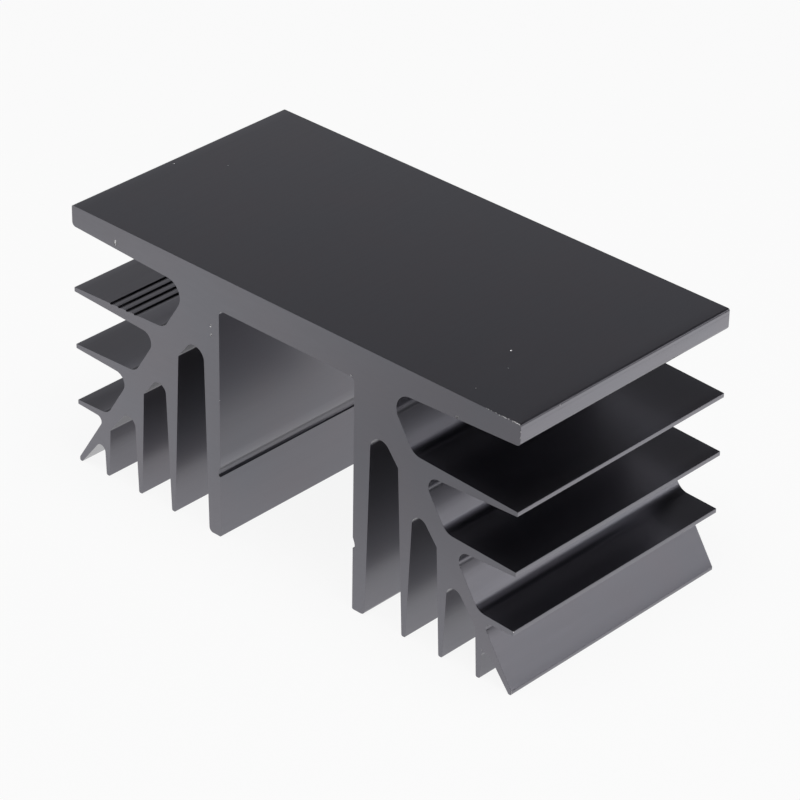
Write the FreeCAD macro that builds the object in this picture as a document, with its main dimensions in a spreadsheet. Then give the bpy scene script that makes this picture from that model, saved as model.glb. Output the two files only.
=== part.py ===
import FreeCAD, Part
from collections import namedtuple
import math
import os
import Sketcher

# Extruded heat sink, one length of aluminium section sawn square at both ends.
#
# The section stands on the tips of its legs and fins, with the mounting plate on top.
# X runs across the section, Y along the extrusion and Z up. The origin is on the standing
# plane, under the middle of the plate. Lengths are millimetres and angles are degrees.
#
# Seen from the end, a flat plate carries two legs with a channel between them, and an arm
# on each side that slopes down and outwards from the plate. Each arm carries level fins on
# its outer side and upright fins below, and thins out into an end fin of its own.

SIDE_FIN_COUNT = 3       # level fins on the outside of each arm
HANGING_FIN_COUNT = 3    # upright fins under each arm
CODE_GROOVE_COUNT = 4    # fine grooves on one top fin, which tell this section from its like

CORNER_SHARE = 0.5       # most of its wall that the rounding of an outer corner may take
ROOT_SHARE = 0.3         # most of its gap that the radius of a root may take

SIZES = {
    # the whole length of section
    "profile_width": 100,
    "profile_height": 50,
    "cut_length": 50,

    # the plate, thinnest at its long edges and thicker towards the arms
    "plate_edge_thickness": 3.9,
    "plate_taper": 2.4,
    "plate_top_corner": 0.4,
    "plate_lower_corner": 0.8,

    # the channel between the legs, under the thick middle of the plate
    "channel_width": 30.4,
    "channel_roof_thickness": 6.25,
    "channel_corner": 0.9,

    # a leg is upright on its channel side and thins downwards on the other
    "leg_foot_thickness": 2.8,
    "leg_draft": 1.4,
    "leg_foot_corner": 0.9,

    # a clip groove on the channel side of each leg, square above and sloped below
    "clip_groove_depth": 0.65,
    "clip_groove_height": 2.05,
    "clip_groove_level": 11.85,
    "clip_groove_slope": 45,

    # an arm, which runs from its root under the plate to a small foot at the side: the root
    # is that far out from the leg's foot, and the arm's inner side meets the leg that deep
    "arm_root_offset": 4.07,
    "arm_inner_depth": 11.17,
    "arm_foot_width": 0.6,
    "arm_foot_height": 0.75,

    # every fin has the same tip and the same taper on both of its sides
    "fin_tip_thickness": 0.85,
    "fin_draft": 2.45,
    "fin_tip_corner": 0.3,

    # where the fins are: depth of the first level fin under the plate's top, distance of the
    # first upright fin from the leg's foot and of the last one from the side
    "first_side_fin_depth": 16.1,
    "first_hanging_fin_offset": 8.65,
    "last_hanging_fin_inset": 7.15,

    # the round roots of the gaps
    "plate_root_radius": 2.9,
    "fin_upper_root_radius": 2.0,
    "fin_lower_root_radius": 2.6,
    "last_gap_root_radius": 1.0,
    "slot_crown_radius": 1.7,
    "leg_slot_crown_radius": 2.25,
    "slot_shoulder_radius": 0.4,
    "end_notch_root_radius": 1.1,

    # the code grooves, counted outwards from the one nearest the plate's middle
    "first_code_groove_offset": 35.05,
    "code_groove_pitch": 1.93,
    "code_groove_width": 0.5,
    "code_groove_depth": 0.3,
}

doc = FreeCAD.newDocument("extruded_heat_sink")

sheet = doc.addObject("Spreadsheet::Sheet", "Sizes")
for row, (alias, number) in enumerate(SIZES.items(), start=1):
    sheet.set(f"A{row}", alias)
    sheet.set(f"B{row}", str(number))
    sheet.setAlias(f"B{row}", alias)
doc.recompute()

# Places that several sides share, as expressions on the sheet.
SIDE = "Sizes.profile_width / 2"
TOP = "Sizes.profile_height"
LEG_INNER = "Sizes.channel_width / 2"
LEG_OUTER = f"({LEG_INNER} + Sizes.leg_foot_thickness)"
GROUND = "0"
MIDDLE = "0"

# The first fin and the step to the next one, for the level fins and for the upright ones.
FIRST_SIDE_FIN = f"({TOP} - Sizes.first_side_fin_depth)"
SIDE_FIN_STEP = f"({FIRST_SIDE_FIN} - Sizes.arm_foot_height) / {SIDE_FIN_COUNT}"
FIRST_HANGING_FIN = f"({LEG_OUTER} + Sizes.first_hanging_fin_offset)"
HANGING_FIN_STEP = (f"({SIDE} - Sizes.last_hanging_fin_inset - {FIRST_HANGING_FIN})"
                    f" / {HANGING_FIN_COUNT - 1}")

# The slopes of an arm's two sides, from the foot at the side up to the plate and the leg.
ARM_RUN = f"({SIDE} - {LEG_OUTER} - Sizes.arm_root_offset)"
ARM_RISE = (f"({TOP} - Sizes.plate_edge_thickness - Sizes.arm_foot_height"
            f" - {ARM_RUN} * tan(Sizes.plate_taper))")
ARM_OUTER_SLOPE = f"atan({ARM_RISE} / {ARM_RUN}) / 1 deg"
ARM_INNER_RISE = f"({TOP} - Sizes.arm_inner_depth)"
ARM_INNER_RUN = (f"({SIDE} - Sizes.arm_foot_width - {LEG_OUTER}"
                 f" - {ARM_INNER_RISE} * tan(Sizes.leg_draft))")
ARM_INNER_SLOPE = f"atan({ARM_INNER_RISE} / {ARM_INNER_RUN}) / 1 deg"

# The most that each radius may be, from the wall or the gap that it lies in.
MOST = {
    "plate_top_corner": f"Sizes.plate_edge_thickness * {CORNER_SHARE}",
    "plate_lower_corner": f"Sizes.plate_edge_thickness * {CORNER_SHARE}",
    "fin_tip_corner": f"min(Sizes.fin_tip_thickness; Sizes.arm_foot_width) * {CORNER_SHARE}",
    "leg_foot_corner": f"Sizes.leg_foot_thickness * {CORNER_SHARE}",
    "channel_corner": f"Sizes.channel_width * {ROOT_SHARE}",
    "plate_root_radius": f"(Sizes.first_side_fin_depth - Sizes.plate_edge_thickness) * {ROOT_SHARE}",
    "fin_upper_root_radius": f"{SIDE_FIN_STEP} * {ROOT_SHARE}",
    "fin_lower_root_radius": f"{SIDE_FIN_STEP} * {ROOT_SHARE}",
    "last_gap_root_radius": f"{SIDE_FIN_STEP} * {ROOT_SHARE}",
    "slot_crown_radius": f"({HANGING_FIN_STEP} - Sizes.fin_tip_thickness) * {ROOT_SHARE}",
    "leg_slot_crown_radius": f"Sizes.first_hanging_fin_offset * {ROOT_SHARE}",
    "slot_shoulder_radius": f"{HANGING_FIN_STEP} * {ROOT_SHARE}",
    "end_notch_root_radius": f"Sizes.last_hanging_fin_inset * {ROOT_SHARE}",
}

# One straight side of a section. It passes through the point x, z and runs at an angle
# from +X. A level side has no x and an upright one has no z. The corner names the radius
# that rounds the join with the next side.
Side = namedtuple("Side", "name x z angle corner")


def level(name, z, corner=None):
    return Side(name, None, z, None, corner)


def upright(name, x, corner=None):
    return Side(name, x, None, None, corner)


def sloped(name, x, z, angle, corner=None):
    return Side(name, x, z, angle, corner)


def origin_plane(body, role):
    """The body's own reference plane of that role."""
    for feature in body.Origin.OriginFeatures:
        if feature.Role == role:
            return feature
    raise RuntimeError(f"no {role} in {body.Label}")


def number_of(expression):
    """The number that an expression on the sheet stands for."""
    found = sheet.evalExpression(expression)
    return float(getattr(found, "Value", found))


def point_and_direction(side):
    """A point of the side and its direction, as plain numbers."""
    if side.x is None:
        return (0.0, number_of(side.z)), (1.0, 0.0)
    if side.z is None:
        return (number_of(side.x), 0.0), (0.0, 1.0)
    angle = math.radians(number_of(side.angle))
    return (number_of(side.x), number_of(side.z)), (math.cos(angle), math.sin(angle))


def meeting_point(first, second):
    """Where two sides cross."""
    (ax, az), (ux, uz) = point_and_direction(first)
    (bx, bz), (vx, vz) = point_and_direction(second)
    along = ((bx - ax) * vz - (bz - az) * vx) / (ux * vz - uz * vx)
    return FreeCAD.Vector(ax + along * ux, az + along * uz, 0)


def draw_outline(body, name, sides):
    """A closed sketch of straight sides in the XZ plane, each bound to the sheet."""
    sketch = body.newObject("Sketcher::SketchObject", name)
    sketch.AttachmentSupport = (origin_plane(body, "XZ_Plane"), [""])
    sketch.MapMode = "FlatFace"

    corners = [meeting_point(sides[i - 1], side) for i, side in enumerate(sides)]
    ends = corners[1:] + corners[:1]
    sketch.addGeometry([Part.LineSegment(a, b) for a, b in zip(corners, ends)], False)

    constraints = []
    bound = []

    def bind(kind, geometry, vertex, expression, label):
        """Ties one coordinate of a point to an expression."""
        axis = {"DistanceX": -2, "DistanceY": -1}[kind]
        if expression in (GROUND, MIDDLE):
            constraints.append(Sketcher.Constraint("PointOnObject", geometry, vertex, axis))
            return
        value = number_of(expression)
        constraints.append(Sketcher.Constraint(kind, -1, 1, geometry, vertex, value))
        bound.append((len(constraints) - 1, label, expression))

    for index, side in enumerate(sides):
        following = (index + 1) % len(sides)
        constraints.append(Sketcher.Constraint("Coincident", index, 2, following, 1))
        if side.x is None:
            constraints.append(Sketcher.Constraint("Horizontal", index))
            bind("DistanceY", index, 1, side.z, f"{side.name}_z")
        elif side.z is None:
            constraints.append(Sketcher.Constraint("Vertical", index))
            bind("DistanceX", index, 1, side.x, f"{side.name}_x")
        else:
            (x, z), _ = point_and_direction(side)
            anchor = sketch.addGeometry(Part.Point(FreeCAD.Vector(x, z, 0)), True)
            bind("DistanceX", anchor, 1, side.x, f"{side.name}_x")
            bind("DistanceY", anchor, 1, side.z, f"{side.name}_z")
            constraints.append(Sketcher.Constraint("PointOnObject", anchor, 1, index))
            angle = math.radians(number_of(side.angle))
            constraints.append(Sketcher.Constraint("Angle", index, angle))
            bound.append((len(constraints) - 1, f"{side.name}_angle", f"({side.angle}) * 1 deg"))

    sketch.addConstraint(constraints)
    for place, label, expression in bound:
        sketch.renameConstraint(place, label)
        sketch.setExpression(f"Constraints.{label}", expression)
    doc.recompute()
    return sketch


def round_corners(body, sketch, sides, base, radius):
    """Rounds each lengthwise edge of the base at a corner that names this radius."""
    edges = []
    for index, side in enumerate(sides):
        if side.corner != radius:
            continue
        corner = sketch.getPoint(index, 2)
        edges += [name for name, place in lengthwise_edges(base.Shape)
                  if math.hypot(place.x - corner.x, place.z - corner.y) < 1e-4]
    fillet = body.newObject("PartDesign::Fillet", f"{radius}_rounding")
    fillet.Base = (base, edges)
    fillet.setExpression("Radius", f"min(Sizes.{radius}; {MOST[radius]})")
    doc.recompute()
    return fillet


def lengthwise_edges(shape):
    """Name and middle of each straight edge that runs along the extrusion."""
    for index, edge in enumerate(shape.Edges, start=1):
        first, last = edge.Vertexes[0].Point, edge.Vertexes[-1].Point
        if math.hypot(first.x - last.x, first.z - last.z) < 1e-6:
            yield f"Edge{index}", (first + last) / 2


def side_fin_sides(fin):
    """The arm above a level fin, and the fin's own three sides, from the top down."""
    centre = f"({FIRST_SIDE_FIN} - {fin} * {SIDE_FIN_STEP})"
    half_tip = "Sizes.fin_tip_thickness / 2"
    last_gap = fin == SIDE_FIN_COUNT - 1
    root = "last_gap_root_radius" if last_gap else "fin_upper_root_radius"
    name = f"side_fin_{fin + 1}"
    return [
        arm_outer_side(f"arm_over_{name}", "fin_lower_root_radius"),
        sloped(f"{name}_upper", SIDE, f"{centre} + {half_tip}", "0 - Sizes.fin_draft",
               "fin_tip_corner"),
        upright(f"{name}_tip", SIDE, "fin_tip_corner"),
        sloped(f"{name}_lower", SIDE, f"{centre} - {half_tip}", "180 + Sizes.fin_draft", root),
    ]


def hanging_fin_sides(fin):
    """An upright fin's three sides and the arm beside it, from the outside in."""
    centre = f"({FIRST_HANGING_FIN} + {fin} * {HANGING_FIN_STEP})"
    half_tip = "Sizes.fin_tip_thickness / 2"
    crown = "slot_crown_radius" if fin else "leg_slot_crown_radius"
    name = f"hanging_fin_{fin + 1}"
    return [
        sloped(f"{name}_outer", f"{centre} + {half_tip}", GROUND, "270 - Sizes.fin_draft",
               "fin_tip_corner"),
        level(f"{name}_tip", GROUND, "fin_tip_corner"),
        sloped(f"{name}_inner", f"{centre} - {half_tip}", GROUND, "90 + Sizes.fin_draft",
               "slot_shoulder_radius"),
        arm_inner_side(f"arm_inside_{name}", crown),
    ]


def arm_outer_side(name, corner):
    """A stretch of the arm's outer face, which starts under the plate and ends at the side."""
    return sloped(name, SIDE, "Sizes.arm_foot_height", f"0 - {ARM_OUTER_SLOPE}", corner)


def arm_inner_side(name, corner):
    """A stretch of the arm's inner face, which rises from the foot of the end fin."""
    foot = f"{SIDE} - Sizes.arm_foot_width"
    return sloped(name, foot, GROUND, f"180 - {ARM_INNER_SLOPE}", corner)


def half_section():
    """The sides of the right half, from the middle of the plate's top and clockwise."""
    sides = [
        level("plate_top", TOP, "plate_top_corner"),
        upright("plate_edge", SIDE, "plate_lower_corner"),
        sloped("plate_underside", SIDE, f"{TOP} - Sizes.plate_edge_thickness",
               "180 + Sizes.plate_taper", "plate_root_radius"),
    ]
    for fin in range(SIDE_FIN_COUNT):
        sides += side_fin_sides(fin)
    sides += [
        arm_outer_side("end_fin_outer", "fin_tip_corner"),
        upright("end_fin_side", SIDE, "fin_tip_corner"),
        level("end_fin_foot", GROUND, "fin_tip_corner"),
        arm_inner_side("end_fin_inner", "end_notch_root_radius"),
    ]
    for fin in reversed(range(HANGING_FIN_COUNT)):
        sides += hanging_fin_sides(fin)
    sides += [
        sloped("leg_outer", LEG_OUTER, GROUND, "270 - Sizes.leg_draft", "leg_foot_corner"),
        level("leg_foot", GROUND, "fin_tip_corner"),
        upright("leg_inner", LEG_INNER, "channel_corner"),
        level("channel_roof", f"{TOP} - Sizes.channel_roof_thickness"),
        upright("middle", MIDDLE),
    ]
    return sides


def clip_groove():
    """The sides of the groove in a leg: floor, square shoulder above and slope below."""
    floor = f"{LEG_INNER} + Sizes.clip_groove_depth"
    lower = "Sizes.clip_groove_level"
    upper = f"{lower} + Sizes.clip_groove_height"
    return [
        level("shoulder", upper),
        upright("floor", floor),
        sloped("slope", LEG_INNER, lower, "180 + Sizes.clip_groove_slope"),
        upright("mouth", f"{LEG_INNER} - Sizes.clip_groove_depth"),
    ]


def code_groove():
    """The sides of the first V groove, sunk square to the sloping top of the first fin."""
    surface = (f"({FIRST_SIDE_FIN} + Sizes.fin_tip_thickness / 2"
               f" + ({SIDE} - Sizes.first_code_groove_offset) * tan(Sizes.fin_draft))")
    x = "0 - Sizes.first_code_groove_offset"
    bottom = f"{surface} - Sizes.code_groove_depth"
    flank = "atan(Sizes.code_groove_depth / (Sizes.code_groove_width / 2))"
    return [
        sloped("inner_flank", x, bottom, f"{flank} / 1 deg"),
        sloped("over_the_fin", x, f"{surface} + Sizes.code_groove_depth", "180 + Sizes.fin_draft"),
        sloped("outer_flank", x, bottom, f"0 - {flank} / 1 deg"),
    ]


def make_heat_sink():
    body = doc.addObject("PartDesign::Body", "heat_sink")
    body.Label = "heat_sink"

    sides = half_section()
    section = draw_outline(body, "half_section", sides)
    half = body.newObject("PartDesign::Pad", "half_extrusion")
    half.Profile = section
    half.SideType = "Symmetric"
    half.setExpression("Length", "Sizes.cut_length")
    doc.recompute()

    solid = half
    for radius in dict.fromkeys(side.corner for side in sides if side.corner):
        solid = round_corners(body, section, sides, solid, radius)

    groove = body.newObject("PartDesign::Pocket", "clip_groove")
    groove.Profile = draw_outline(body, "clip_groove_section", clip_groove())
    groove.SideType = "Symmetric"
    groove.Type = "ThroughAll"
    doc.recompute()

    whole = body.newObject("PartDesign::Mirrored", "both_halves")
    whole.TransformMode = "Whole shape"
    whole.MirrorPlane = (origin_plane(body, "YZ_Plane"), [""])
    whole.Refine = True
    body.Tip = whole
    doc.recompute()

    code_section = draw_outline(body, "code_groove_section", code_groove())
    code = body.newObject("PartDesign::Pocket", "code_groove")
    code.Profile = code_section
    code.SideType = "Symmetric"
    code.Type = "ThroughAll"
    doc.recompute()

    row = body.newObject("PartDesign::LinearPattern", "code_grooves")
    row.Originals = [code]
    row.Direction = (code_section, ["Edge2"])
    row.Mode = "Spacing"
    row.setExpression("Offset", "Sizes.code_groove_pitch")
    row.Occurrences = CODE_GROOVE_COUNT
    body.Tip = row
    doc.recompute()
    return body


heat_sink = make_heat_sink()

for item in doc.Objects:
    if "Invalid" in item.State or "Error" in item.State:
        raise RuntimeError(f"{item.Name} failed: {item.State}")
shape = heat_sink.Shape
if shape.isNull() or not shape.isValid() or len(shape.Solids) != 1:
    raise RuntimeError("the heat sink is not one valid solid")

os.makedirs("parts", exist_ok=True)
shape.exportStep(f"parts/{heat_sink.Label}.step")
box = shape.BoundBox
print(f"{heat_sink.Label}: {box.XLength:.2f} x {box.YLength:.2f} x {box.ZLength:.2f} mm, "
      f"{shape.Volume / 1000:.2f} cm3, {len(shape.Faces)} faces")
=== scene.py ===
"""A black anodised extruded heat sink on a white paper sweep, laid out as a Blender add-on.

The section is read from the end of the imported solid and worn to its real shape. One Geometry
Nodes tree sweeps it along its length, and a second one cuts the nicks.
"""

import math
import random

import bmesh
import bpy
from bpy.props import FloatProperty, FloatVectorProperty, IntProperty, PointerProperty
from mathutils import Matrix, Quaternion, Vector


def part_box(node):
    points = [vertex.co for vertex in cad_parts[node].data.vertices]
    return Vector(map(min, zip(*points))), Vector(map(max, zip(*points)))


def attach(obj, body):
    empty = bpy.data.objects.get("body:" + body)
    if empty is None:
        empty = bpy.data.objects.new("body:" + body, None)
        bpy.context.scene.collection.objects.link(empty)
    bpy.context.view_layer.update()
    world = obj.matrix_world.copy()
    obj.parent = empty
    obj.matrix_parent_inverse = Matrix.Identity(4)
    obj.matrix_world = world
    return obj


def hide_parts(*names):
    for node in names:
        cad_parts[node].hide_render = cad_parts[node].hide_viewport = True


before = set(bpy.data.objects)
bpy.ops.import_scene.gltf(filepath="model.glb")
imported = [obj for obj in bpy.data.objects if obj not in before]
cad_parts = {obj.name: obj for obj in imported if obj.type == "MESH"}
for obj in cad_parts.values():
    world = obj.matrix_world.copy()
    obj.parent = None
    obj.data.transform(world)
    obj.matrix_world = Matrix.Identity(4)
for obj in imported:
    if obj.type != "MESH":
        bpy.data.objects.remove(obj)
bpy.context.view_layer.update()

bl_info = {
    "name": "Extruded heat sink",
    "version": (1, 0, 0),
    "blender": (4, 5, 0),
    "location": "View3D > Sidebar > Heat sink",
    "description": "Dresses an extruded heat sink: swept section, saw nicks, anodised finish and stage",
    "category": "Object",
}

MM = 0.001
NODE = "heat_sink"
LOW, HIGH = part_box(NODE)
LENGTH = HIGH.y - LOW.y

# Two places nearer than this, in metres, are the same place.
SAME = 1e-6

# The real code groove, from its inner rim to its outer one. Each point is a place along the face,
# from the middle of the solid's V cut, and a depth, in mm. The inner flank is a soft curve.
CODE_GROOVE = (*((-1.0 + 0.19 * k, 0.12 * (k / 5) ** 2) for k in range(6)), (0.24, 0.24), (0.46, 0))

# The real clip groove, from its upper rim to its lower one. Each point is a share of the groove's
# height and a depth in mm.
CLIP_GROOVE = (
    (0, 0), (0.12, 0.10), (0.28, 0.24), (0.45, 0.36), (0.62, 0.43),
    (0.76, 0.44), (0.86, 0.41), (0.93, 0.33), (0.98, 0.19), (1, 0),
)

# The tips of the side fins: the heights between which they lie, in mm, and the share of the
# solid's 0.3 mm rounding that the real tips have.
TIP_HEIGHTS = (2, 43)
TIP_ROUNDING = 0.4

# An arc of the section is cut into chords that turn by no more than this.
ARC_STEP = math.radians(8)

# Single nicks that handling and the saw left: the middle of the bite and its width, in mm. The
# middle lies a little off the face, so that the nick is shallow.
SINGLE_NICKS = (
    ((-39.4, -25.16, 46.9), 0.85), ((14.6, -25.06, 43.8), 0.50), ((37.0, -25.10, 45.9), 0.55),
    ((-28.1, -25.06, 35.8), 0.45), ((43.6, -25.04, 5.7), 0.34), ((50.0, -25.00, 12.2), 0.42),
    ((50.0, -25.00, 0.6), 0.44), ((37.8, -21.7, 50.03), 0.28), ((34.0, -9.4, 50.04), 0.36),
    ((37.3, -13.7, 50.03), 0.26), ((-48.6, -2.8, 50.03), 0.32), ((-41.6, 3.2, 50.03), 0.24),
    ((-15.1, -25.03, 26.7), 0.26), ((-14.9, -25.03, 28.8), 0.26), ((50.0, -16.0, 49.7), 0.24),
)

# Edges where the film is chipped: from, to, how many chips, their width and how far they stray, in
# mm. The last two rows are single specks with a ragged outline.
CHIPPED_EDGES = (
    ((46.2, -25.0, 50.0), (49.9, -25.0, 50.0), 44, 0.22, 0.02),
    ((43.0, -25.0, 50.0), (46.2, -25.0, 50.0), 12, 0.16, 0.02),
    ((-37.9, -25.0, 34.9), (-34.6, -25.0, 35.0), 12, 0.14, 0.05),
    ((50.05, -25.05, 49.4), (50.05, -25.05, 45.2), 34, 0.24, 0.02),
    ((-17.0, -25.10, 40.1), (-17.0, -25.10, 40.1), 4, 0.44, 0.08),
    ((-17.0, -25.10, 38.2), (-17.0, -25.10, 38.6), 5, 0.46, 0.08),
)

# Each lamp's place, width and height, in metres.
TOP_LAMP = (Vector((0.10, -0.10, 0.90)), 0.6, 0.6)
BACK_LAMP = (Vector((0.60, 0.54, 0.24)), 0.7, 0.16)

# The brightness of the room, which the satin faces mirror, by the sine of the height above the
# horizon, and its tint.
ROOM_LEVELS = (
    (0.0, 0.02), (0.1, 0.03), (0.2, 0.16), (0.3, 0.47),
    (0.4, 0.47), (0.5, 0.07), (0.6, 0.01), (1.0, 0.01),
)
ROOM_TINT = (0.985, 0.99, 1.035)

# The camera's sensor and lens in mm, and the point that it aims at, which the solved camera gives.
SENSOR_MM = 36
LENS_MM = 170.52
AIM = Vector((1.792, 0.177, 23.242)) * MM


def linear(hex_colour):
    """An sRGB hex colour as linear red, green and blue."""
    channels = [int(hex_colour[i:i + 2], 16) / 255 for i in (1, 3, 5)]
    return tuple(c / 12.92 if c <= 0.04045 else ((c + 0.055) / 1.055) ** 2.4 for c in channels)


def colour(name, hex_colour, description):
    """A colour that the user can change."""
    return FloatVectorProperty(name=name, description=description, default=linear(hex_colour),
                               size=3, min=0, max=1, subtype="COLOR")


def length(name, millimetres, description):
    """A length that the user can change, with its default in millimetres."""
    return FloatProperty(name=name, description=description, default=millimetres * MM,
                         min=0, precision=5, subtype="DISTANCE", unit="LENGTH")


class HeatSinkShape(bpy.types.PropertyGroup):
    """Sizes of the swept section that the solid leaves out."""

    edge_break: length("Edge break", 0.018, "Width of the bevel that deburring leaves on the sawn ends")
    longest_side: length("Longest side", 2.0, "Straight sides of the section are split down to this")
    rings: IntProperty(name="Rings", description="Rings of points along the extrusion",
                       default=26, min=4, max=200)


class HeatSinkFinish(bpy.types.PropertyGroup):
    """Colours of the finish."""

    film: colour("Film", "#66656c", "Metal seen through the black dyed film, where it faces the light")
    bare: colour("Bare metal", "#e4e3e4", "Aluminium where the film is chipped off")


class HeatSinkStage(bpy.types.PropertyGroup):
    """Light, ground and camera."""

    sweep: colour("Sweep", "#f4f4f4", "Paper that the heat sink stands on")
    top_lamp: FloatProperty(name="Top lamp", description="Power of the soft lamp overhead",
                            default=5.5, min=0, unit="POWER")
    back_lamp: FloatProperty(name="Back lamp", description="Power of the low lamp at the back right",
                             default=0.50, min=0, unit="POWER")
    distance: length("Camera distance", 629.19, "From the camera to the middle of the heat sink")
    azimuth: FloatProperty(name="Azimuth", description="How far the camera stands round to the right",
                           default=math.radians(42.740), subtype="ANGLE")
    elevation: FloatProperty(name="Elevation", description="How far the camera looks down",
                             default=math.radians(31.044), subtype="ANGLE")
    roll: FloatProperty(name="Roll", description="Turn of the camera about its own axis",
                        default=math.radians(0.993), subtype="ANGLE")


# Helpers for node trees.

def add_node(tree, kind, inputs=None, **settings):
    """Adds a node with its settings, then its inputs.

    An input is a plain value, the socket that feeds it, or the node whose first output does.
    """
    node = tree.nodes.new(kind)
    for name, value in settings.items():
        setattr(node, name, value)
    for key, value in (inputs or {}).items():
        source = value.outputs[0] if isinstance(value, bpy.types.Node) else value
        if isinstance(source, bpy.types.NodeSocket):
            tree.links.new(source, node.inputs[key])
        else:
            node.inputs[key].default_value = source
    return node


def new_geometry_tree(name, sockets):
    """An empty Geometry Nodes tree with a geometry in and out and the named inputs."""
    tree = bpy.data.node_groups.new(name, "GeometryNodeTree")
    tree.interface.new_socket("Geometry", in_out="INPUT", socket_type="NodeSocketGeometry")
    for socket_name, kind in sockets.items():
        tree.interface.new_socket(socket_name, in_out="INPUT", socket_type=f"NodeSocket{kind}")
    tree.interface.new_socket("Geometry", in_out="OUTPUT", socket_type="NodeSocketGeometry")
    return tree, add_node(tree, "NodeGroupInput").outputs


def finish_tree(tree, geometry):
    """Realizes instances and leads the geometry to the tree's output."""
    real = add_node(tree, "GeometryNodeRealizeInstances", {"Geometry": geometry})
    add_node(tree, "NodeGroupOutput", {"Geometry": real})


def run_tree(name, mesh, tree, values):
    """Runs a tree on a mesh and returns the result as a new object with a plain mesh.

    The values are given by the names of the tree's inputs.
    """
    source = bpy.data.objects.new(f"{name}_source", mesh)
    bpy.context.scene.collection.objects.link(source)
    modifier = source.modifiers.new(tree.name, "NODES")
    modifier.node_group = tree
    for item in tree.interface.items_tree:
        if item.item_type == "SOCKET" and item.in_out == "INPUT" and item.name in values:
            modifier[item.identifier] = values[item.name]
    evaluated = source.evaluated_get(bpy.context.evaluated_depsgraph_get())
    result = bpy.data.meshes.new_from_object(evaluated)
    source.modifiers.clear()
    bpy.data.objects.remove(source)
    result.name = name
    piece = bpy.data.objects.new(name, result)
    bpy.context.scene.collection.objects.link(piece)
    return piece


# The section: read from the end of the solid, then worn to its real shape.

def section_outline():
    """The outline of the solid's near end as points x, z.

    It is one closed loop that starts at the top right corner and has the metal on its left.
    """
    mesh = bmesh.new()
    mesh.from_mesh(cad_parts[NODE].data)
    bmesh.ops.remove_doubles(mesh, verts=mesh.verts, dist=SAME)
    cap = {f for f in mesh.faces if all(abs(v.co.y - LOW.y) < SAME for v in f.verts)}
    rim = [e for e in mesh.edges if sum(f in cap for f in e.link_faces) == 1]
    ways = {}
    for edge in rim:
        for vert in edge.verts:
            ways.setdefault(vert, []).append(edge)
    edge, points = rim[0], []
    first = vert = edge.verts[0]
    while True:
        points.append(Vector((vert.co.x, vert.co.z)))
        vert = edge.other_vert(vert)
        if vert == first:
            break
        edge = next(e for e in ways[vert] if e != edge)
    mesh.free()
    if len(points) != len(rim):
        raise RuntimeError("the end of the solid isn't one closed loop")
    area = sum(a.cross(b) for a, b in zip(points, points[1:] + points[:1]))
    if area < 0:
        points.reverse()
    corner = max(range(len(points)), key=lambda i: points[i].x + points[i].y)
    return points[corner:] + points[:corner]


def without_points_on_lines(points):
    """Drops the points that lie on a straight line between their neighbours."""
    kept = []
    for i, point in enumerate(points):
        before, after = points[i - 1], points[(i + 1) % len(points)]
        bend = (point - before).normalized().cross((after - point).normalized())
        if abs(bend) > 1e-4:
            kept.append(point)
    return kept


def turn_at(points, i):
    """The signed angle by which the outline turns at a point."""
    count = len(points)
    before = points[i % count] - points[(i - 1) % count]
    after = points[(i + 1) % count] - points[i % count]
    return math.atan2(before.cross(after), before.dot(after))


def with_crisp_tips(points):
    """Tightens the rounding at the tips of the side fins, as TIP_ROUNDING says.

    Each rounding is a run of short sides within 0.32 mm of the outermost x. It shrinks towards
    the corner where the straight sides on its two hands would meet.
    """
    crisp, count = list(points), len(points)
    short, lowest, highest = 0.1 * MM, TIP_HEIGHTS[0] * MM, TIP_HEIGHTS[1] * MM

    def side(i):
        return points[(i + 1) % count] - points[i % count]

    for start, point in enumerate(points):
        at_tip = abs(point.x) > HIGH.x - 0.32 * MM and lowest < point.y < highest
        if not at_tip or side(start - 1).length < short:
            continue
        end = start
        while side(end).length < short:
            end += 1
        into, out_of = side(start - 1), side(end)
        reach = (points[end % count] - point).cross(out_of) / into.cross(out_of)
        corner = point + into * reach
        for k in range(start, end + 1):
            crisp[k % count] = corner.lerp(points[k % count], TIP_ROUNDING)
    return crisp


def with_worn_clip_grooves(points):
    """Gives each clip groove its real shape, a shallow hollow with a soft upper edge and a ledge.

    The solid's grooves have flat flanks. Their floors are the only sides of the outline of 1 to
    2 mm that lie between two inner corners of more than 40 degrees.
    """
    worn = list(points)
    for i in range(len(points) - 3, 0, -1):
        floor = (points[i + 1] - points[i]).length
        corners = max(turn_at(points, i), turn_at(points, i + 1))
        if not 1 * MM < floor < 2 * MM or corners > math.radians(-40):
            continue
        rims = (points[i - 1], points[i + 2])
        upper, lower = sorted(rims, key=lambda point: -point.y)
        into = Vector((math.copysign(MM, upper.x), 0))
        cut = [upper.lerp(lower, share) + into * depth for share, depth in CLIP_GROOVE]
        worn[i - 1:i + 3] = cut if upper == rims[0] else cut[::-1]
    return worn


def with_worn_code_grooves(points):
    """Gives each code groove its real shape.

    The solid's grooves are plain V cuts. They are the only inner corners of the outline that
    turn by more than 60 degrees between two sides under half a millimetre.
    """
    worn = list(points)
    for i in range(len(points) - 2, 0, -1):
        inner, bottom, outer = points[i - 1:i + 2]
        longer = max((bottom - inner).length, (outer - bottom).length)
        if longer > 0.45 * MM or turn_at(points, i) > math.radians(-60):
            continue
        along = (outer - inner).normalized()
        into = Vector((-along.y, along.x))
        middle = (inner + outer) / 2
        worn[i - 1:i + 2] = [middle + (along * step + into * depth) * MM
                             for step, depth in CODE_GROOVE]
    return worn


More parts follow.
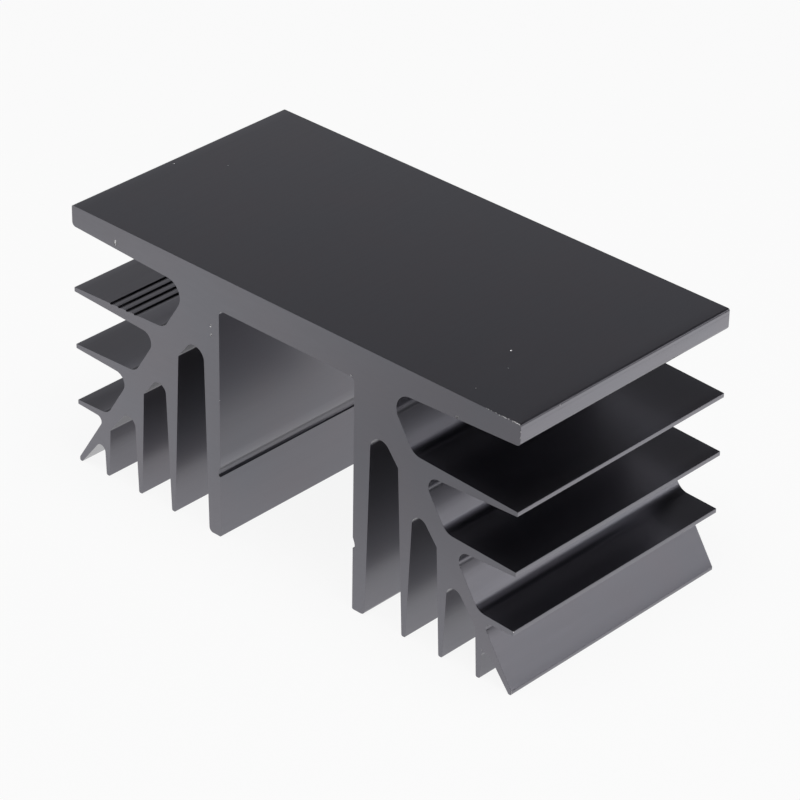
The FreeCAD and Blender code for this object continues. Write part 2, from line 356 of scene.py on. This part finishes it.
def refined(points, longest):
    """Cuts the chords of each arc into fine steps, and long straight sides into short ones.

    A side is a chord of an arc where a neighbour is as long as it within 2% and the two meet
    at under 60 degrees.
    """
    count = len(points)
    sides = [(points[(i + 1) % count] - points[i]).length for i in range(count)]
    fine = []
    for i, point in enumerate(points):
        end, side, bend = points[(i + 1) % count], sides[i], 0
        for other, turn in ((sides[i - 1], turn_at(points, i)),
                            (sides[(i + 1) % count], turn_at(points, i + 1))):
            if abs(other - side) < 0.02 * side and abs(turn) < math.radians(60):
                bend = turn
        if bend:
            steps = max(1, math.ceil(abs(bend) / ARC_STEP))
            radius = side / (2 * math.sin(bend / 2))
            along = (end - point).normalized()
            to_centre = Vector((-along.y, along.x)) * radius * math.cos(bend / 2)
            centre = (point + end) / 2 + to_centre
            for k in range(steps):
                spoke = point - centre
                spoke.rotate(Matrix.Rotation(bend * k / steps, 2))
                fine.append(centre + spoke)
        else:
            steps = max(1, math.ceil(side / longest))
            fine += [point.lerp(end, k / steps) for k in range(steps)]
    return fine


def outline_mesh(points):
    """The outline as a loop of edges in the XY plane."""
    mesh = bpy.data.meshes.new("section")
    count = len(points)
    sides = [(i, (i + 1) % count) for i in range(count)]
    mesh.from_pydata([(point.x, point.y, 0) for point in points], sides, [])
    return mesh


def sweep_tree():
    """Sweeps the section along its length, with closed ends and a small bevel round each.

    It works with the section flat in XY and the length along Z, and turns the result upright
    at the end.
    """
    tree, given = new_geometry_tree("sweep_section", {
        "Length": "Float", "Rings": "Int", "Edge break": "Float",
        "Extruded finish": "Material", "Sawn finish": "Material"})
    upper_end = add_node(tree, "ShaderNodeMath", {0: given["Length"], 1: 0.5}, operation="MULTIPLY")
    lower_end = add_node(tree, "ShaderNodeMath", {0: upper_end, 1: -1}, operation="MULTIPLY")
    line = add_node(tree, "GeometryNodeCurvePrimitiveLine", {
        "Start": add_node(tree, "ShaderNodeCombineXYZ", {"Z": lower_end}),
        "End": add_node(tree, "ShaderNodeCombineXYZ", {"Z": upper_end})})
    path = add_node(tree, "GeometryNodeResampleCurve", {"Curve": line, "Count": given["Rings"]})

    # The second ring and the last but one move out to where the bevels start.
    index = add_node(tree, "GeometryNodeInputIndex")
    last_but_one = add_node(tree, "ShaderNodeMath", {0: given["Rings"], 1: 2}, operation="SUBTRACT")
    upper_bevel = add_node(tree, "ShaderNodeMath", {
        0: upper_end, 1: given["Edge break"]}, operation="SUBTRACT")
    lower_bevel = add_node(tree, "ShaderNodeMath", {0: upper_bevel, 1: -1}, operation="MULTIPLY")
    for ring, level in ((1, lower_bevel), (last_but_one, upper_bevel)):
        chosen = add_node(tree, "FunctionNodeCompare", {2: index, 3: ring},
                          data_type="INT", operation="EQUAL")
        path = add_node(tree, "GeometryNodeSetPosition", {
            "Geometry": path, "Selection": chosen,
            "Position": add_node(tree, "ShaderNodeCombineXYZ", {"Z": level})})

    section = add_node(tree, "GeometryNodeMeshToCurve", {"Mesh": given["Geometry"]})
    swept = add_node(tree, "GeometryNodeCurveToMesh", {
        "Curve": path, "Profile Curve": section, "Fill Caps": True})

    # The outermost rings step in across the section, by the width of the bevel.
    place = add_node(tree, "GeometryNodeInputPosition")
    level = add_node(tree, "ShaderNodeSeparateXYZ", {0: place}).outputs["Z"]
    reach = add_node(tree, "ShaderNodeMath", {0: level}, operation="ABSOLUTE")
    just_inside = add_node(tree, "ShaderNodeMath", {0: upper_end, 1: SAME}, operation="SUBTRACT")
    outermost = add_node(tree, "ShaderNodeMath", {0: reach, 1: just_inside}, operation="GREATER_THAN")
    facing = add_node(tree, "GeometryNodeInputNormal")
    across = add_node(tree, "ShaderNodeVectorMath", {0: facing, 1: (1, 1, 0)}, operation="MULTIPLY")
    outwards = add_node(tree, "ShaderNodeVectorMath", {0: across}, operation="NORMALIZE")
    step_in = add_node(tree, "ShaderNodeMath", {0: given["Edge break"], 1: -1}, operation="MULTIPLY")
    inset = add_node(tree, "ShaderNodeVectorMath", {0: outwards, "Scale": step_in}, operation="SCALE")
    broken = add_node(tree, "GeometryNodeSetPosition", {
        "Geometry": swept, "Selection": outermost, "Offset": inset})

    # Faces that look along the extrusion are the sawn ends.
    all_over = add_node(tree, "GeometryNodeSetMaterial", {
        "Geometry": broken, "Material": given["Extruded finish"]})
    lengthwise = add_node(tree, "ShaderNodeSeparateXYZ", {0: facing}).outputs["Z"]
    squareness = add_node(tree, "ShaderNodeMath", {0: lengthwise}, operation="ABSOLUTE")
    end_face = add_node(tree, "ShaderNodeMath", {0: squareness, 1: 0.9}, operation="GREATER_THAN")
    ends = add_node(tree, "GeometryNodeSetMaterial", {
        "Geometry": all_over, "Selection": end_face, "Material": given["Sawn finish"]})

    upright = add_node(tree, "GeometryNodeTransform", {
        "Geometry": ends, "Rotation": (math.radians(90), 0, 0)})
    finish_tree(tree, upright)
    return tree


def nick_tree():
    """Cuts small irregular nicks out of a body, one at each point of the object it is given.

    Each cutter is a lumpy ball one unit wide, scaled to the size that its point carries.
    """
    tree, given = new_geometry_tree("cut_nicks", {"Places": "Object", "Bare metal": "Material"})
    places = add_node(tree, "GeometryNodeObjectInfo", {"Object": given["Places"]}).outputs["Geometry"]
    ball = add_node(tree, "GeometryNodeMeshIcoSphere", {"Radius": 0.5, "Subdivisions": 2})
    spot = add_node(tree, "GeometryNodeInputPosition")
    lumps = add_node(tree, "ShaderNodeTexNoise", {"Vector": spot, "Scale": 3.0}).outputs["Color"]
    push = add_node(tree, "ShaderNodeVectorMath", {0: lumps, 1: (0.5, 0.5, 0.5)}, operation="SUBTRACT")
    lumpy = add_node(tree, "GeometryNodeSetPosition", {"Geometry": ball, "Offset": push})
    turned = add_node(tree, "FunctionNodeRandomValue", {
        0: (0, 0, 0), 1: (math.tau, math.tau, math.tau), "Seed": 11}, data_type="FLOAT_VECTOR")
    stretch = add_node(tree, "FunctionNodeRandomValue", {
        0: (0.7, 0.7, 0.7), 1: (1.5, 1.3, 1.0), "Seed": 12}, data_type="FLOAT_VECTOR")
    size = add_node(tree, "GeometryNodeInputNamedAttribute", {"Name": "size"}, data_type="FLOAT")
    scale = add_node(tree, "ShaderNodeVectorMath", {0: stretch, "Scale": size}, operation="SCALE")
    balls = add_node(tree, "GeometryNodeInstanceOnPoints", {
        "Points": places, "Instance": lumpy, "Rotation": turned, "Scale": scale})
    real = add_node(tree, "GeometryNodeRealizeInstances", {"Geometry": balls})
    cutters = add_node(tree, "GeometryNodeSetMaterial", {
        "Geometry": real, "Material": given["Bare metal"]})
    cut = add_node(tree, "GeometryNodeMeshBoolean", {
        "Mesh 1": given["Geometry"], "Mesh 2": cutters, "Self Intersection": True},
        operation="DIFFERENCE", solver="EXACT")
    whole = add_node(tree, "GeometryNodeMergeByDistance", {"Geometry": cut, "Distance": 0.001 * MM})
    finish_tree(tree, whole)
    return tree


def nick_places():
    """The nicks as an object of loose points, each with its size."""
    draw = random.Random(5)
    spots = [(Vector(place) * MM, size * MM) for place, size in SINGLE_NICKS]
    for start, end, count, size, spread in CHIPPED_EDGES:
        for _ in range(count):
            place = Vector(start).lerp(Vector(end), draw.random())
            place += Vector([draw.uniform(-spread, spread) for _ in range(3)])
            spots.append((place * MM, size * MM * draw.uniform(0.6, 1.3)))
    mesh = bpy.data.meshes.new("nick_places")
    mesh.from_pydata([place for place, _ in spots], [], [])
    sizes = mesh.attributes.new("size", "FLOAT", "POINT")
    sizes.data.foreach_set("value", [size for _, size in spots])
    places = bpy.data.objects.new("nick_places", mesh)
    bpy.context.scene.collection.objects.link(places)
    return places


def shade_smooth(mesh, bevel_start):
    """Smooth shading that stops at edges over 35 degrees, at bevels and where the finish changes.

    Merging points can pull one a thousandth of a millimetre off the top or an end, which would
    show as a crease, so such points go back first.
    """
    work = bmesh.new()
    work.from_mesh(mesh)
    for vert in work.verts:
        for axis, level in ((1, LOW.y), (1, HIGH.y), (2, HIGH.z)):
            if abs(vert.co[axis] - level) < 0.001 * MM:
                vert.co[axis] = level
    for face in work.faces:
        face.smooth = True
    for edge in work.edges:
        kinds = {(face.material_index, abs(face.calc_center_median().y) > bevel_start)
                 for face in edge.link_faces}
        edge.smooth = len(kinds) == 1 and edge.calc_face_angle(0) < math.radians(35)
    work.to_mesh(mesh)
    work.free()


# Finishes.

def new_material(name):
    """An empty node material and its tree."""
    material = bpy.data.materials.new(name)
    material.use_nodes = True
    material.node_tree.nodes.clear()
    return material, material.node_tree


def anodised(name, roughness, grain_stretch, grain_mm):
    """Black anodised aluminium.

    The dyed film lets a dim grey of the metal through and has a satin gloss of its own, so the
    surface is dark where it mirrors the dark and pale where it mirrors the paper.
    """
    material, tree = new_material(name)
    film = bpy.context.scene.heat_sink_finish.film
    place = add_node(tree, "ShaderNodeTexCoord").outputs["Object"]

    # The dye drifts slowly from a pinkish to a bluish grey, over some 12 mm.
    drift = add_node(tree, "ShaderNodeTexNoise", {
        "Vector": place, "Scale": 1 / (12 * MM), "Detail": 1.0})
    pinkish = tuple(c * part for c, part in zip(film, (1.05, 0.985, 1.0))) + (1,)
    bluish = tuple(c * part for c, part in zip(film, (0.95, 1.0, 1.04))) + (1,)
    tint = add_node(tree, "ShaderNodeMix", {"Factor": drift, 6: pinkish, 7: bluish}, data_type="RGBA")

    # Lines of the die or the saw, 0.002 mm deep and drawn out along the way that the tool ran.
    # They also swing the roughness a little.
    swing = 0.03
    drawn = add_node(tree, "ShaderNodeMapping", {"Vector": place, "Scale": grain_stretch})
    grain = add_node(tree, "ShaderNodeTexNoise", {
        "Vector": drawn, "Scale": 1 / (grain_mm * MM), "Detail": 3.0, "Roughness": 0.6})
    gloss = add_node(tree, "ShaderNodeMapRange", {
        "Value": grain, "From Min": 0.3, "From Max": 0.7,
        "To Min": roughness - swing, "To Max": roughness + swing})
    lined = add_node(tree, "ShaderNodeBump", {
        "Strength": 1.0, "Distance": 0.002 * MM, "Height": grain})

    # The die leaves the top 0.03 mm low at its long edges, in a fall over the last 0.5 mm.
    x, _, z = add_node(tree, "ShaderNodeSeparateXYZ", {0: place}).outputs
    off_middle = add_node(tree, "ShaderNodeMath", {0: x}, operation="ABSOLUTE")
    near_edge = add_node(tree, "ShaderNodeMapRange", {
        "Value": off_middle, "From Min": HIGH.x - 0.5 * MM, "From Max": HIGH.x})
    curved = add_node(tree, "ShaderNodeMath", {0: near_edge, 1: near_edge}, operation="MULTIPLY")
    on_top = add_node(tree, "ShaderNodeMath", {0: z, 1: HIGH.z - 1 * MM}, operation="GREATER_THAN")
    fall = add_node(tree, "ShaderNodeMath", {0: curved, 1: on_top}, operation="MULTIPLY")
    rolled = add_node(tree, "ShaderNodeBump", {
        "Strength": 1.0, "Distance": 0.03 * MM, "Height": fall, "Normal": lined}, invert=True)

    # The coat is the sealed oxide film, whose IOR is about 1.6.
    shader = add_node(tree, "ShaderNodeBsdfPrincipled", {
        "Base Color": tint.outputs[2], "Metallic": 1.0, "Roughness": gloss, "Normal": rolled,
        "Coat Weight": 1.0, "Coat Roughness": 0.22, "Coat IOR": 1.6, "Coat Normal": rolled})
    add_node(tree, "ShaderNodeOutputMaterial", {"Surface": shader})
    return material


def extruded_finish():
    """Anodised faces as the die left them: satin, with faint lines along the extrusion.

    Real die lines are 0.02 to 0.05 mm wide, and are drawn at 0.5 mm so that they show.
    """
    return anodised("anodised_extruded_face", 0.34, grain_stretch=(1, 0.02, 1), grain_mm=0.5)


def sawn_finish():
    """Anodised ends as the saw left them: a little duller, with fine marks along its stroke.

    Real saw marks are about 0.05 mm wide, and are drawn at 0.35 mm so that they show.
    """
    return anodised("anodised_sawn_face", 0.40, grain_stretch=(0.08, 1, 1), grain_mm=0.35)


def bare_aluminium():
    """Bare aluminium in the nicks: bright, and a little rough because a chip tears the metal."""
    material, tree = new_material("chipped_bare_aluminium")
    bare = tuple(bpy.context.scene.heat_sink_finish.bare)
    place = add_node(tree, "ShaderNodeTexCoord").outputs["Object"]
    # The torn grain is some 0.02 mm wide, and is drawn at 0.1 mm so that it shows.
    torn = add_node(tree, "ShaderNodeTexNoise", {
        "Vector": place, "Scale": 1 / (0.1 * MM), "Detail": 2.0})
    shade = add_node(tree, "ShaderNodeMix", {
        "Factor": torn, 6: tuple(c * 0.8 for c in bare) + (1,), 7: bare + (1,)}, data_type="RGBA")
    gloss = add_node(tree, "ShaderNodeMapRange", {
        "Value": torn, "From Min": 0.3, "From Max": 0.7, "To Min": 0.28, "To Max": 0.42})
    shader = add_node(tree, "ShaderNodeBsdfPrincipled", {
        "Base Color": shade.outputs[2], "Metallic": 1.0, "Roughness": gloss})
    add_node(tree, "ShaderNodeOutputMaterial", {"Surface": shader})
    return material


def white_paper():
    """Matt white paper.

    The eye sees it almost plain white, with a tenth of its lit shade, so that the shadow stays
    faint. Reflections see the paper glow with a painted pool of light round the heat sink: painted
    shade before and behind it, painted light towards the back right, and gone some 230 mm away.
    """
    material, tree = new_material("white_paper")
    sweep = tuple(bpy.context.scene.heat_sink_stage.sweep) + (1,)
    lit = add_node(tree, "ShaderNodeBsdfDiffuse", {"Color": sweep})
    place = add_node(tree, "ShaderNodeTexCoord").outputs["Object"]
    x, y, _ = add_node(tree, "ShaderNodeSeparateXYZ", {0: place}).outputs

    # Painted shade before and behind, seen only in reflections: a bell of 60 mm across x, times a slope
    # from 15 to 70 mm.
    beside = add_node(tree, "ShaderNodeMath", {0: x, 1: 60 * MM}, operation="DIVIDE")
    squared = add_node(tree, "ShaderNodeMath", {0: beside, 1: beside}, operation="MULTIPLY")
    negative = add_node(tree, "ShaderNodeMath", {0: squared, 1: -1.0}, operation="MULTIPLY")
    bell = add_node(tree, "ShaderNodeMath", {0: math.e, 1: negative}, operation="POWER")
    off_middle = add_node(tree, "ShaderNodeMath", {0: y}, operation="ABSOLUTE")
    slope = add_node(tree, "ShaderNodeMapRange", {
        "Value": off_middle, "From Min": 15 * MM, "From Max": 70 * MM, "To Min": 0, "To Max": -0.62},
        interpolation_type="SMOOTHSTEP")
    painted_shade = add_node(tree, "ShaderNodeMath", {0: bell, 1: slope, 2: 1.16}, operation="MULTIPLY_ADD")

    # Painted light towards the back right, and the fade of the painted pool on all sides.
    rightwards = add_node(tree, "ShaderNodeMath", {0: x, 1: y}, operation="ADD")
    painted_lift = add_node(tree, "ShaderNodeMapRange", {
        "Value": rightwards, "From Min": 100 * MM, "From Max": 230 * MM, "To Min": 0, "To Max": 0.7})
    with_painted_lift = add_node(tree, "ShaderNodeMath", {0: painted_shade, 1: painted_lift}, operation="ADD")
    reach = add_node(tree, "ShaderNodeVectorMath", {0: place}, operation="LENGTH").outputs["Value"]
    fade = add_node(tree, "ShaderNodeMapRange", {
        "Value": reach, "From Min": 135 * MM, "From Max": 230 * MM, "To Min": 1, "To Max": 0.05},
        interpolation_type="SMOOTHSTEP")
    pool = add_node(tree, "ShaderNodeMath", {0: with_painted_lift, 1: fade}, operation="MULTIPLY")

    # Reflections see the painted pool as a glow of the paper, which is no lamp; the eye sees plain
    # white.
    ray = add_node(tree, "ShaderNodeLightPath").outputs
    level = add_node(tree, "ShaderNodeMix", {"Factor": ray["Is Camera Ray"], "A": pool, "B": 1.0})
    plain = add_node(tree, "ShaderNodeEmission", {"Color": (1, 1, 1, 1), "Strength": level})
    seen = add_node(tree, "ShaderNodeMath", {0: ray["Is Camera Ray"], 1: 0.9}, operation="MULTIPLY")
    share = add_node(tree, "ShaderNodeMath", {0: ray["Is Glossy Ray"], 1: 0.65, 2: seen},
                     operation="MULTIPLY_ADD")
    mixed = add_node(tree, "ShaderNodeMixShader", {0: share, 1: lit, 2: plain})
    add_node(tree, "ShaderNodeOutputMaterial", {"Surface": mixed})
    return material


class HEATSINK_OT_body(bpy.types.Operator):
    """Make the extruded body from the section of the solid"""

    bl_idname = "heatsink.make_body"
    bl_label = "Extruded body"

    def execute(self, context):
        shape = context.scene.heat_sink_shape
        corners = with_crisp_tips(without_points_on_lines(section_outline()))
        corners = with_worn_code_grooves(with_worn_clip_grooves(corners))
        section = outline_mesh(refined(corners, shape.longest_side))
        swept = run_tree("swept_section", section, sweep_tree(), {
            "Length": LENGTH, "Rings": shape.rings, "Edge break": shape.edge_break,
            "Extruded finish": extruded_finish(), "Sawn finish": sawn_finish()})
        places = nick_places()
        body = run_tree("extruded_body", swept.data, nick_tree(), {
            "Places": places, "Bare metal": bare_aluminium()})
        bpy.data.objects.remove(places)
        bpy.data.objects.remove(swept)
        shade_smooth(body.data, HIGH.y - shape.edge_break)
        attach(body, "root")
        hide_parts(NODE)
        return {"FINISHED"}


class HEATSINK_OT_stage(bpy.types.Operator):
    """Set up the paper sweep, the lamps and the camera"""

    bl_idname = "heatsink.set_stage"
    bl_label = "Stage"

    def execute(self, context):
        scene = context.scene
        settings = scene.heat_sink_stage
        self.lay_sweep()
        self.hang_lamp(scene, "top_lamp", settings.top_lamp, *TOP_LAMP)
        self.hang_lamp(scene, "back_lamp", settings.back_lamp, *BACK_LAMP)
        self.light_world(scene)
        self.place_camera(scene, settings)
        scene.view_settings.view_transform = "Standard"
        return {"FINISHED"}

    def lay_sweep(self):
        """A wide disc of paper, a hair under the feet so that the two share no plane."""
        bpy.ops.mesh.primitive_circle_add(vertices=64, radius=3, fill_type="NGON",
                                          location=(0, 0, LOW.z - 0.02 * MM))
        sweep = bpy.context.object
        sweep.name = "paper_sweep"
        sweep.data.materials.append(white_paper())

    def hang_lamp(self, scene, name, power, place, width, height):
        """A soft lamp that faces the middle of the heat sink."""
        data = bpy.data.lights.new(name, "AREA")
        data.energy = power
        data.shape = "RECTANGLE"
        data.size = width
        data.size_y = height
        lamp = bpy.data.objects.new(name, data)
        lamp.location = place
        lamp.rotation_euler = (-place).to_track_quat("-Z", "Y").to_euler()
        scene.collection.objects.link(lamp)

    def light_world(self, scene):
        """A pale band at mid height between a dark horizon and a dark ceiling, a faint glow low
        at the back right, and plain white for the eye."""
        world = bpy.data.worlds.new("studio")
        world.use_nodes = True
        tree = world.node_tree
        tree.nodes.clear()
        way = add_node(tree, "ShaderNodeTexCoord").outputs["Generated"]
        height = add_node(tree, "ShaderNodeSeparateXYZ", {0: way}).outputs["Z"]
        room = add_node(tree, "ShaderNodeValToRGB", {0: height})
        stops = room.color_ramp.elements
        for position, _ in ROOM_LEVELS[1:-1]:
            stops.new(position)
        for stop, (position, level) in zip(stops, ROOM_LEVELS):
            stop.position = position
            stop.color = tuple(level * part for part in ROOM_TINT) + (1,)
        back_right = (0.74, 0.67, -0.6)
        towards = add_node(tree, "ShaderNodeVectorMath", {0: way, 1: back_right},
                           operation="DOT_PRODUCT").outputs["Value"]
        glow = add_node(tree, "ShaderNodeMapRange", {
            "Value": towards, "From Min": 0.3, "From Max": 0.9, "To Min": 0, "To Max": 0.04},
            interpolation_type="SMOOTHSTEP")
        level = add_node(tree, "ShaderNodeVectorMath", {0: room, 1: glow}, operation="ADD")
        ray = add_node(tree, "ShaderNodeLightPath").outputs
        seen = add_node(tree, "ShaderNodeMix", {
            "Factor": ray["Is Camera Ray"], 6: level, 7: (1, 1, 1, 1)}, data_type="RGBA")
        background = add_node(tree, "ShaderNodeBackground", {"Color": seen.outputs[2]})
        add_node(tree, "ShaderNodeOutputWorld", {"Surface": background})
        scene.world = world

    def place_camera(self, scene, settings):
        """The camera of the photograph, aimed at the middle of the heat sink."""
        data = bpy.data.cameras.new("camera")
        data.sensor_width = SENSOR_MM
        data.lens = LENS_MM
        camera = bpy.data.objects.new("camera", data)
        scene.collection.objects.link(camera)
        level = Vector((-math.sin(settings.azimuth), math.cos(settings.azimuth), 0))
        view = level * math.cos(settings.elevation) - Vector((0, 0, math.sin(settings.elevation)))
        upright = view.to_track_quat("-Z", "Y")
        camera.rotation_mode = "QUATERNION"
        camera.rotation_quaternion = upright @ Quaternion((0, 0, 1), settings.roll)
        camera.location = AIM - view * settings.distance
        scene.camera = camera


class HEATSINK_PT_panel(bpy.types.Panel):
    """Lists the pieces and the stage"""

    bl_idname = "HEATSINK_PT_panel"
    bl_label = "Heat sink"
    bl_space_type = "VIEW_3D"
    bl_region_type = "UI"
    bl_category = "Heat sink"

    def draw(self, context):
        for operator in OPERATORS:
            self.layout.operator(operator.bl_idname)
        for name, (group, title) in SETTINGS.items():
            self.layout.label(text=title)
            for setting in group.__annotations__:
                self.layout.prop(getattr(context.scene, name), setting)


OPERATORS = (HEATSINK_OT_body, HEATSINK_OT_stage)
SETTINGS = {
    "heat_sink_shape": (HeatSinkShape, "Shape"),
    "heat_sink_finish": (HeatSinkFinish, "Finish"),
    "heat_sink_stage": (HeatSinkStage, "Stage"),
}
CLASSES = (HeatSinkShape, HeatSinkFinish, HeatSinkStage, *OPERATORS, HEATSINK_PT_panel)


def register():
    for cls in CLASSES:
        bpy.utils.register_class(cls)
    for name, (group, _) in SETTINGS.items():
        setattr(bpy.types.Scene, name, PointerProperty(type=group))


def unregister():
    for name in SETTINGS:
        delattr(bpy.types.Scene, name)
    for cls in reversed(CLASSES):
        bpy.utils.unregister_class(cls)


def main():
    """Makes the piece and the stage."""
    register()
    bpy.ops.heatsink.make_body()
    bpy.ops.heatsink.set_stage()


if __name__ == "__main__":
    main()
